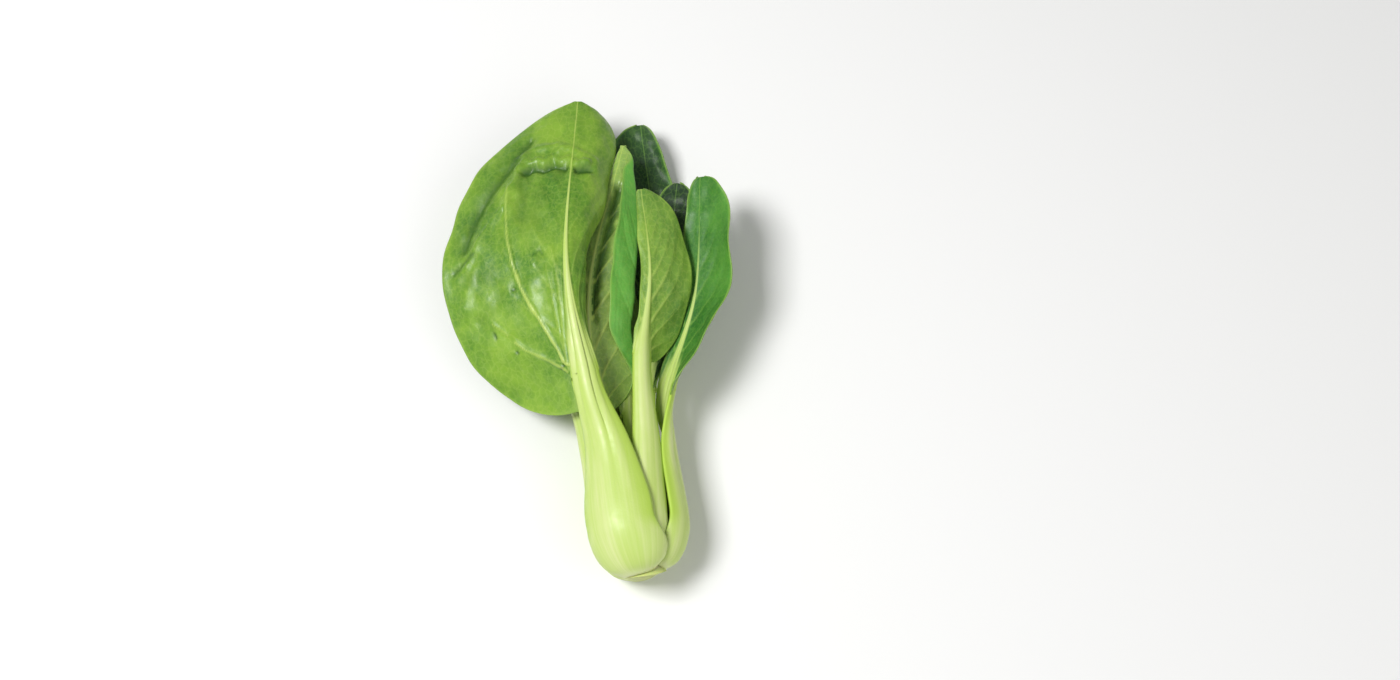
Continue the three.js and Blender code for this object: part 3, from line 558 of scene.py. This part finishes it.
# The same for one half of the blade: the left one for k = 0 and the right one for k = 1.
def bladeField(leaf, spine, n, k, rows, columns):
    finish = leafFinish
    side = -1.0 if k == 0 else 1.0
    v, x = [a.ravel() for a in np.meshgrid(rows, np.linspace(0, 1, columns + 1), indexing="ij")]
    zero = np.zeros_like(v)
    length = blend(spine["neck"], spine["end"], v)
    stalk = stalkHalf(leaf, spine, length)
    point = blend(0.05, 0.25, smooth(v, 0.9, 1))  # half the width at the neck and the tip
    blade = np.maximum(bladeHalf(leaf, k, v), point)
    fromRib = x * blade
    height, waves, phase = leaf["ruffle"]
    turns = waves * v + phase + finish["ruffleStep"] * side
    ripple = np.sin(2 * math.pi * turns) * smooth(v, 0, 0.3)
    delay = head["foldDelay"] * (1 - smooth(v, 0, head["foldNeck"]) + smooth(v, head["foldTip"], 1))
    wave = height * blade / leaf["width"][k] * x**3 * ripple
    length = length - leaf["lobe"][k] * (1 - v) ** 2 * x**1.3
    clear = np.where(x > 0, stalkHalf(leaf, spine, length) + finish["clearance"] * smooth(x, 0, 0.3), 0)
    wander = wrinkles(zero, length, finish["unevenWave"], seeds["margins"] + 2 * n + k)
    wander *= x**2 * smooth(v, 0.05, 0.2) * (1 - smooth(v, 0.85, 1))
    distance = np.maximum(stalk + fromRib, clear) + finish["uneven"] * wander
    place = leafPoints(leaf, spine, length, zero + side, distance, stalk, blade, wave, delay)
    low = place[:, 2] < head["restHeight"]
    room = head["restHeight"] - head["lowest"]
    place[low, 2] = head["lowest"] + room * np.exp((place[low, 2] - head["restHeight"]) / room)

    # Side veins, the swelling between them, wrinkles and marks, all flatter at the rib and at the margin
    vein, nearest = veinsAt(leaf, spine, n, k, x, v)
    u = side * distance
    high, pale, markShade = marksAt(leaf, spine, n, u, length)
    vein *= leaf["veins"] * blend(1, smooth(fromRib, 0, 2), smooth(v, *head["lineStart"]))
    vein = np.maximum(vein, pale)
    last = smooth(v, *head["ribFade"])
    soft = blend(smooth(fromRib, 0, 6), 1, last) * (1 - smooth(x, 0.9, 1) * 0.4)
    swell = (smooth(nearest, *finish["pillowReach"]) - finish["pillowLevel"]) * soft
    relief = (
        (finish["veinHeight"] * vein - finish["pillow"] * swell) * (1 - last)
        + leaf["crumple"] * roughness(u, length, n) * soft
        + high
    )
    wall = blend(finish["bladeWall"], finish["marginWall"], x)
    wall = blend(head["stalkEdge"], wall, smooth(fromRib, 0, 3))
    ribColour = (1 - smooth(fromRib, 0, 0.7)) * (1 - smooth(v, *head["flankStart"]))
    return {
        "place": place,
        "thick": wall + finish["veinWall"] * vein * smooth(fromRib, 0, 2),
        "relief": relief * blend(smooth(fromRib, 0, 1.5), 1, last) * smooth(1 - x, 0, 0.06),
        "blade": np.maximum(smooth(fromRib, -0.4, 0.8), smooth(v, *head["flankStart"])),
        "vein": np.maximum(vein * (1 - 0.6 * smooth(v, 0.2, 0.9)), ribColour),
        "streak": zero + 0.5,
        "edge": (1 - smooth(v, 0, 0.1)) * ribColour,
        # Painted shade of a leaf in shadow, with some of its own deeper tone, lifted towards the margin as a
        # painted lit rim; then the painted shade of the marks
        "toneAndShade": leaf["toneAndShade"] * (1 - 0.5 * smooth(x, 0.75, 1)),
        "paintedShade": markShade,
        "young": zero + leaf["young"],
        "margin": 1 - smooth((1 - x) * blade, *finish["marginBand"]),
        "foot": zero,
        "flat": np.stack([u, length, zero + finish["patternStep"] * n], -1),
    }


def setAttribute(mesh, name, values):
    kind, member = ("FLOAT_VECTOR", "vector") if values.ndim == 2 else ("FLOAT", "value")
    layer = mesh.attributes.new(name, kind, "POINT")
    layer.data.foreach_set(member, values.astype(np.float32).ravel())


def readAttribute(mesh, name):
    values = np.empty(len(mesh.vertices), np.float32)
    mesh.attributes[name].data.foreach_get("value", values)
    return values


def readPoints(mesh, kind="co"):
    points = np.empty(len(mesh.vertices) * 3)
    mesh.vertices.foreach_get(kind, points)
    return points.reshape(-1, 3)


def movePoints(mesh, points):
    mesh.vertices.foreach_set("co", points.ravel())
    mesh.update()


def groupWeights(piece, name, values):
    group = piece.vertex_groups.new(name=name)
    for i, value in enumerate(values.tolist()):
        group.add([i], value, "REPLACE")


def readGroup(piece, name):
    index = piece.vertex_groups[name].index
    found = np.zeros(len(piece.data.vertices))
    for i, vertex in enumerate(piece.data.vertices):
        for entry in vertex.groups:
            if entry.group == index:
                found[i] = entry.weight
    return found


# The sheet gets its thickness, and the skin on its inner side is marked for the material.
def addWall(piece):
    mesh = piece.data
    thick = readAttribute(mesh, "thick")
    thickest = float(thick.max())
    groupWeights(piece, "wall", thick / thickest)
    piece.vertex_groups.new(name="innerFace")
    wall = piece.modifiers.new("Wall", "SOLIDIFY")
    wall.thickness = thickest * mm
    wall.offset = 2 * head["outerShare"] - 1
    wall.vertex_group = "wall"
    wall.shell_vertex_group = "innerFace"
    bpy.ops.object.modifier_apply(modifier=wall.name)
    setAttribute(mesh, "inner", readGroup(piece, "innerFace"))
    piece.vertex_groups.clear()
    for name in ("thick", "relief"):
        mesh.attributes.remove(mesh.attributes[name])
    points = readPoints(mesh)
    points[:, 2] = np.maximum(points[:, 2], 0)  # flat where the head rests
    movePoints(mesh, points)


# Three grids, of the stalk and of both halves of the blade, which meet along the stalk's margins
def makeLeaf(leaf, n, shift):
    finish = leafFinish
    spine = spineOf(leaf, n)
    rows = round((spine["end"] - spine["neck"]) / finish["cell"])
    stalkColumns = 2 * round(finish["stalkDensity"] * leaf["span"] * spine["radius"])
    sideColumns = [max(finish["leastColumns"], round(width / finish["cell"])) for width in leaf["width"]]
    if "fold" in leaf:
        sideColumns[1] *= 2
    shares = bladeRows(rows)
    bulb = np.linspace(0, spine["top"], finish["bulbRows"], endpoint=False)
    stem = np.linspace(spine["top"], spine["neck"], finish["stalkRows"], endpoint=False)
    lengths = np.concatenate([bulb, stem, blend(spine["neck"], spine["end"], shares)])
    bpy.ops.object.select_all(action="DESELECT")
    addGrid(len(lengths) - 1, stalkColumns)
    piece = bpy.context.object
    piece.name = piece.data.name = f"leaf_{n + 1:02d}"
    bpy.ops.object.mode_set(mode="EDIT")
    for columns in sideColumns:
        addGrid(rows, columns)
    bpy.ops.object.mode_set(mode="OBJECT")

    stalk = stalkField(leaf, spine, n, lengths, stalkColumns)
    left, right = [bladeField(leaf, spine, n, k, shares, sideColumns[k]) for k in (0, 1)]
    for name, value in left.items():  # the left half's columns run from its margin to the rib
        grid = value.reshape(rows + 1, sideColumns[0] + 1, -1)[:, ::-1]
        left[name] = grid.reshape(-1, 3) if value.ndim == 2 else grid.ravel()
    field = {name: np.concatenate([stalk[name], left[name], right[name]]) for name in stalk}
    mesh = piece.data
    movePoints(mesh, (field.pop("place") + shift) * mm)
    for name, value in field.items():
        setAttribute(mesh, name, value)
    bpy.ops.object.mode_set(mode="EDIT")
    bpy.ops.mesh.select_all(action="SELECT")
    bpy.ops.mesh.remove_doubles(threshold=2e-6)
    bpy.ops.object.mode_set(mode="OBJECT")

    # The relief moves the sheet along its normals.
    relief = readPoints(mesh, "normal") * readAttribute(mesh, "relief")[:, None]
    movePoints(mesh, readPoints(mesh) + relief * mm)
    addWall(piece)
    bpy.ops.object.shade_smooth()
    return piece


# Shader sums
class Signal:
    def __init__(self, tree, socket=None):
        self.tree = tree
        self.socket = socket

    # Any node: its settings are set first, then the values or links of its sockets.
    def node(self, kind, settings=None, inputs=None, output=0):
        made = self.tree.nodes.new(kind)
        for name, value in (settings or {}).items():
            setattr(made, name, value)
        for name, value in (inputs or {}).items():
            if isinstance(value, Signal):
                self.tree.links.new(value.socket, made.inputs[name])
            else:
                made.inputs[name].default_value = value
        return Signal(self.tree, made.outputs[output] if made.outputs else None)

    def sum(self, operation, *values):
        return self.node("ShaderNodeMath", {"operation": operation}, dict(enumerate(values)))

    def __add__(self, other):
        return self.sum("ADD", self, other)

    def __sub__(self, other):
        return self.sum("SUBTRACT", self, other)

    def __rsub__(self, other):
        return self.sum("SUBTRACT", other, self)

    def __mul__(self, other):
        return self.sum("MULTIPLY", self, other)

    __radd__ = __add__
    __rmul__ = __mul__

    def step(self, low, high, start=0.0, end=1.0):  # smoothly from start to end between low and high
        values = {"Value": self, "From Min": low, "From Max": high, "To Min": start, "To Max": end}
        return self.node("ShaderNodeMapRange", {"interpolation_type": "SMOOTHSTEP"}, values)

    def mix(self, a, b):  # colours a and b, by this share
        return self.node("ShaderNodeMix", {"data_type": "RGBA"}, {0: self, 6: a, 7: b}, 2)


# A colour as seen on a screen, 0 to 255 each, in Blender's linear numbers
def colour(red, green, blue):
    parts = [c / 255 for c in (red, green, blue)]
    return tuple(c / 12.92 if c <= 0.04045 else ((c + 0.055) / 1.055) ** 2.4 for c in parts) + (1.0,)


leafLook = {
    "stalkPale": colour(216, 223, 163),
    "stalkGreen": colour(184, 208, 106),
    "stalkMargin": colour(170, 202, 72),
    "footPale": colour(226, 230, 178),
    "backLight": colour(132, 170, 54),
    "backDeep": colour(74, 124, 36),
    # painted shade: the back of a leaf in shadow, with some of its own olive tone
    "backOldAndShaded": colour(76, 120, 46),
    "backYoung": colour(172, 198, 120),
    "faceLight": colour(92, 160, 56),
    "faceDeep": colour(52, 118, 42),
    # painted shade: the face of a leaf that lies in shadow
    "faceShade": colour(14, 36, 16),
    "faceYoung": colour(122, 190, 82),
    # painted shade in creases, dents and shaded patches
    "creaseShade": colour(44, 84, 28),
    "veinBack": colour(186, 206, 104),
    "veinFace": colour(128, 172, 74),
    "margin": colour(160, 190, 86),
    # Patterns: how fine they are across and along the leaf, then their detail and their roughness
    "fibres": (0.9, 0.02, 4.0, 0.6),
    "cloud": (0.06, 0.035, 2.0, 0.5),
    "patches": (0.05, 0.035, 4.0, 0.6),
    "mottle": (0.8, 0.8, 3.0, 0.6),
    "wax": (0.25, 0.25, 4.0, 0.6),
    # Where they, and the values that the mesh carries, begin to show and where they show in full
    "grainRange": (0.38, 1.08),
    "cloudRange": (0.35, 0.7),
    "riseRange": (35, 85),  # millimetres along the leaf, over which a stalk turns greener
    "edgeRange": (0.4, 1.0),
    "backRange": (0.32, 0.68),
    "faceRange": (0.3, 0.75),
    "innerRange": (0.4, 0.6),
    "mottleRange": (0.35, 0.7),
    "veinRange": (0.12, 0.85),
    "waxRange": (0.3, 0.75),
    # How strongly they show
    "ridges": 0.6,
    "fibresOnRidges": 0.7,
    "cloudShare": 0.5,
    "riseShare": 0.45,
    "edgeShare": 0.9,
    "footShare": 0.6,
    # how far a leaf in shadow, and its own deeper tone, turn its back and face to the painted shade colours
    "oldAndShadedBack": 0.85,
    "oldAndShadedFace": 0.9,
    "mottleShare": 0.35,
    # painted shade of the marks
    "paintedShadeShare": 0.9,
    "veinShare": 0.9,
    "marginShare": 0.35,
    # The net of the finest veins
    "netSize": 2.6,  # millimetres from one to the next
    "netStretch": 0.8,
    "netBend": (0.5, 0.9),  # how fine its bends are, and how far they go
    "netLine": 0.13,
    "netShare": 0.13,
    "netYoung": 0.35,  # how much plainer it is on a young leaf
    # The surface of the skin
    "roughness": (0.32, 0.54),  # from the waxiest spots to the dullest
    "darkRoughness": 0.25,
    "netDepth": 0.12,
    "mottleHeight": 0.5,
    "fibreHeight": 0.6,
    "bumpStrength": 0.35,
    "bumpDistance": 0.0004,  # metres
}


def newMaterial(name):
    material = bpy.data.materials.new(name)
    material.use_nodes = True
    material.node_tree.nodes.clear()
    return material, Signal(material.node_tree)


def finishMaterial(sheet, inputs):
    shader = sheet.node("ShaderNodeBsdfPrincipled", None, inputs)
    sheet.node("ShaderNodeOutputMaterial", None, {"Surface": shader})


def leafMaterial():
    look = leafLook
    material, sheet = newMaterial("leafSkin")

    def attribute(name, output=2):
        return sheet.node("ShaderNodeAttribute", {"attribute_name": name}, None, output)

    flat = attribute("flat", 1)
    blade, vein, inner = attribute("blade"), attribute("vein"), attribute("inner")
    streak, edge, margin = attribute("streak"), attribute("edge"), attribute("margin")
    foot, toneAndShade, young, paintedShade = attribute("foot"), attribute("toneAndShade"), attribute("young"), attribute("paintedShade")

    def scaled(x, y):
        return sheet.node("ShaderNodeMapping", None, {"Vector": flat, "Scale": (x, y, 1.0)})

    def noise(name):
        x, y, detail, rough = look[name]
        values = {"Vector": scaled(x, y), "Scale": 1.0, "Detail": detail, "Roughness": rough}
        return sheet.node("ShaderNodeTexNoise", None, values)

    # The stalk: pale ridges, greener grooves and margins, whitish at the foot
    fibres = noise("fibres")
    grain = streak * look["ridges"] + fibres * look["fibresOnRidges"]
    stalk = grain.step(*look["grainRange"]).mix(look["stalkGreen"], look["stalkPale"])
    cloud = noise("cloud").step(*look["cloudRange"])
    stalk = (cloud * look["cloudShare"]).mix(stalk, look["stalkGreen"])
    along = sheet.node("ShaderNodeSeparateXYZ", None, {"Vector": flat}, 1)
    stalk = (along.step(*look["riseRange"]) * look["riseShare"]).mix(stalk, look["stalkGreen"])
    stalk = (edge.step(*look["edgeRange"]) * look["edgeShare"]).mix(stalk, look["stalkMargin"])
    stalk = (foot * look["footShare"]).mix(stalk, look["footPale"])

    # The blade: its back and its face, lighter and darker in patches
    patches = noise("patches")
    back = patches.step(*look["backRange"]).mix(look["backDeep"], look["backLight"])
    # Painted shade: a leaf that lies in shadow, partly also for its own deeper tone, turns a dull olive on
    # its back and nearly black on its face.
    back = (toneAndShade * look["oldAndShadedBack"]).mix(back, look["backOldAndShaded"])
    back = young.mix(back, look["backYoung"])
    face = patches.step(*look["faceRange"]).mix(look["faceDeep"], look["faceLight"])
    face = (toneAndShade * look["oldAndShadedFace"]).mix(face, look["faceShade"])
    face = young.mix(face, look["faceYoung"])
    isFace = inner.step(*look["innerRange"])
    tissue = isFace.mix(back, face)
    light = isFace.mix(look["backLight"], look["faceLight"])
    mottle = noise("mottle")
    speckle = mottle.step(*look["mottleRange"]) * (1 - toneAndShade) * look["mottleShare"]
    tissue = speckle.mix(tissue, light)

    # Fine veins net the tissue between the side veins.
    fineness, reach = look["netBend"]
    bends = {"Vector": scaled(fineness, fineness), "Scale": 1.0, "Detail": 2.0}
    bend = sheet.node("ShaderNodeTexNoise", None, bends, 1)
    even = scaled(1 / look["netSize"], look["netStretch"] / look["netSize"])
    bent = sheet.node("ShaderNodeVectorMath", {"operation": "MULTIPLY_ADD"},
                      {0: bend, 1: (reach, reach, reach), 2: even})
    net = sheet.node("ShaderNodeTexVoronoi", {"feature": "DISTANCE_TO_EDGE"}, {"Vector": bent, "Scale": 1.0})
    net = net.step(0.0, look["netLine"], 1.0, 0.0)
    veinColour = isFace.mix(look["veinBack"], look["veinFace"])
    tissue = (net * (young * look["netYoung"] + look["netShare"])).mix(tissue, veinColour)
    # Painted shade in the creases, dents and shaded patches of the marks
    tissue = (paintedShade * look["paintedShadeShare"]).mix(tissue, look["creaseShade"])
    plain = vein.step(*look["veinRange"]) * look["veinShare"] * (1 - toneAndShade * 0.5)
    tissue = plain.mix(tissue, veinColour)
    tissue = (margin * look["marginShare"]).mix(tissue, look["margin"])

    base = blade.mix(stalk, tissue)
    rough = noise("wax").step(*look["waxRange"], *look["roughness"]) + toneAndShade * look["darkRoughness"]
    height = net * -look["netDepth"] * blade + mottle * look["mottleHeight"]
    height = height + fibres * (1 - blade) * look["fibreHeight"]
    bump = sheet.node("ShaderNodeBump", None, {
        "Strength": look["bumpStrength"], "Distance": look["bumpDistance"], "Height": height,
    })
    finishMaterial(sheet, {
        "Base Color": base,
        "Roughness": rough,
        "Normal": bump,
        "Subsurface Weight": 0.12,
        "Subsurface Scale": 0.0015,
        "Subsurface Radius": (0.8, 1.0, 0.3),
        "Specular IOR Level": 0.35,
        "Coat Weight": 0.08,
        "Coat Roughness": 0.22,
    })
    return material


# Lengths are in millimetres.
stemShape = {
    "radius": 7.8,
    "end": 11.6,
    "innerRadius": 1.6,
    "facets": 96,
    "rings": 14,
    "ringWidth": 0.42,
    "ringHeight": 0.12,
    "ringPace": 3.2,
    "smoothBelow": 40,  # degrees
    "cut": colour(236, 232, 200),
    "cloud": colour(214, 212, 150),
    "rim": colour(198, 210, 130),
    "fleck": colour(196, 184, 126),
    "rimRange": (5.8, 7.5),  # radii between which the cut turns green
    "cloudRange": (0.35, 0.7),
    "fleckRange": (0.6, 0.75),
    "fleckShare": 0.4,
    "roughness": 0.55,
}


# The short stem with its slanting cut, whose leaf scars show as rings
def makeStem(shift):
    shape = stemShape
    bpy.ops.object.select_all(action="DESELECT")
    bpy.ops.mesh.primitive_cone_add(
        vertices=shape["facets"], radius1=shape["radius"], radius2=shape["innerRadius"],
        depth=shape["end"] - head["rootCut"], rotation=(-math.pi / 2, 0, 0), end_fill_type="NGON",
    )
    piece = bpy.context.object
    piece.name = piece.data.name = "stem_core"
    bpy.ops.object.transform_apply(location=True, rotation=True, scale=True)
    bpy.ops.object.mode_set(mode="EDIT")
    bpy.ops.mesh.select_all(action="DESELECT")
    bpy.ops.object.mode_set(mode="OBJECT")
    for polygon in piece.data.polygons:
        polygon.select = polygon.normal.y < -0.9  # the cut looks along -Y
    bpy.ops.object.mode_set(mode="EDIT")
    bpy.ops.mesh.select_mode(type="FACE")
    for ring in range(shape["rings"]):
        bpy.ops.mesh.inset(thickness=shape["ringWidth"], depth=0)
    bpy.ops.object.mode_set(mode="OBJECT")
    mesh = piece.data
    place = readPoints(mesh)
    along = place[:, 1] + (shape["end"] + head["rootCut"]) / 2
    onCut = along < head["rootCut"] + 0.01
    radius = np.hypot(place[:, 0], place[:, 2])
    slant = place[onCut, 2] * math.tan(math.radians(head["rootTilt"]))
    along[onCut] += shape["ringHeight"] * np.sin(radius[onCut] * shape["ringPace"]) - slant
    across, up = place[:, 0] * head["widen"], place[:, 2] * head["flatten"] + head["axisHeight"]
    movePoints(mesh, (np.stack([across, along, up], -1) + shift) * mm)
    setAttribute(mesh, "rings", radius)
    bpy.ops.object.shade_smooth_by_angle(angle=math.radians(shape["smoothBelow"]))
    return piece


def stemMaterial():
    look = stemShape
    material, sheet = newMaterial("cutStem")
    rings = sheet.node("ShaderNodeAttribute", {"attribute_name": "rings"}, None, 2)
    place = sheet.node("ShaderNodeTexCoord", None, None, 3)
    fleck = sheet.node("ShaderNodeTexNoise", None, {"Vector": place, "Scale": 900.0, "Detail": 4.0})
    cloud = sheet.node("ShaderNodeTexNoise", None, {"Vector": place, "Scale": 220.0, "Detail": 3.0})
    base = cloud.step(*look["cloudRange"]).mix(look["cut"], look["cloud"])
    base = rings.step(*look["rimRange"]).mix(base, look["rim"])
    base = (fleck.step(*look["fleckRange"]) * look["fleckShare"]).mix(base, look["fleck"])
    bump = sheet.node("ShaderNodeBump", None, {"Strength": 0.4, "Distance": 0.0003, "Height": fleck})
    finishMaterial(sheet, {
        "Base Color": base,
        "Roughness": look["roughness"],
        "Normal": bump,
        "Subsurface Weight": 0.15,
        "Subsurface Scale": 0.002,
    })
    return material


# In metres, as the frame has it
studio = {
    "floorSize": 6,
    "floorHeight": -0.0002,
    "floorColour": (0.86, 0.86, 0.85, 1),
    "floorRoughness": 0.8,
    "worldColour": (1.0, 1.0, 1.0, 1),
    "worldStrength": 0.26,
    "keyPlace": (-0.5, 0.0, 1.0),
    "keySize": 0.4,
    "keyPower": 11.5,
    "fillPlace": (0.6, -0.7, 0.7),
    "fillSize": 1.2,
    "fillPower": 4.5,
}

# The photograph's view: looking down at this angle from this far, turned a little off the head's own axis
photoView = {
    "target": (0.0395, -0.0075, 0.020),
    "distance": 0.778,
    "elevation": 68,
    "turn": 8.8,
    "lens": 50,
    "sensor": 36,
}


def makeStudio():
    bpy.ops.object.select_all(action="DESELECT")
    bpy.ops.mesh.primitive_plane_add(size=studio["floorSize"], location=(0, 0, studio["floorHeight"]))
    floor = bpy.context.object
    floor.name = "floor"
    material, sheet = newMaterial("paleFloor")
    finishMaterial(sheet, {"Base Color": studio["floorColour"], "Roughness": studio["floorRoughness"]})
    floor.data.materials.append(material)
    world = bpy.data.worlds.new("studio")
    bpy.context.scene.world = world
    world.use_nodes = True
    background = world.node_tree.nodes["Background"]
    background.inputs["Color"].default_value = studio["worldColour"]
    background.inputs["Strength"].default_value = studio["worldStrength"]
    for kind in ("key", "fill"):
        bpy.ops.object.light_add(type="AREA", location=studio[kind + "Place"])
        light = bpy.context.object
        light.name = kind + "Light"
        light.data.size = studio[kind + "Size"]
        light.data.energy = studio[kind + "Power"]
        aim = -light.location.normalized()
        light.rotation_euler = aim.to_track_quat("-Z", "Y").to_euler()


def makeCamera():
    view = photoView
    turn, elevation = math.radians(view["turn"]), math.radians(view["elevation"])
    level = math.cos(elevation) * view["distance"]
    x, y, z = view["target"]
    up = math.sin(elevation) * view["distance"]
    place = (x - math.sin(turn) * level, y - math.cos(turn) * level, z + up)
    bpy.ops.object.camera_add(location=place, rotation=(math.pi / 2 - elevation, 0, -turn))
    camera = bpy.context.object
    camera.data.lens = view["lens"]
    camera.data.sensor_width = view["sensor"]
    bpy.context.scene.camera = camera


# The stem's solid tells where the head's axis runs and where its root end is.
def headShift():
    low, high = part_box("stem")
    return np.array([(low[0] + high[0]) / 2 / mm, high[1] / mm - head["stemEnd"], 0])


def main():
    shift = headShift()
    print("head shifted by", shift.round(3))
    skin = leafMaterial()
    for n, leaf in enumerate(leaves):
        piece = makeLeaf(leaf, n, shift)
        piece.data.materials.clear()
        piece.data.materials.append(skin)
        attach(piece, "root")
        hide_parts(f"leaf_{n + 1:02d}_stalk", f"leaf_{n + 1:02d}_blade")
        print(piece.name, "has", len(piece.data.polygons), "faces")
    stem = makeStem(shift)
    stem.data.materials.append(stemMaterial())
    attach(stem, "root")
    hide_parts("stem")
    print("stem made")
    makeStudio()
    makeCamera()
    print("studio made")


main()
bpy.context.scene.view_settings.view_transform = "Standard"
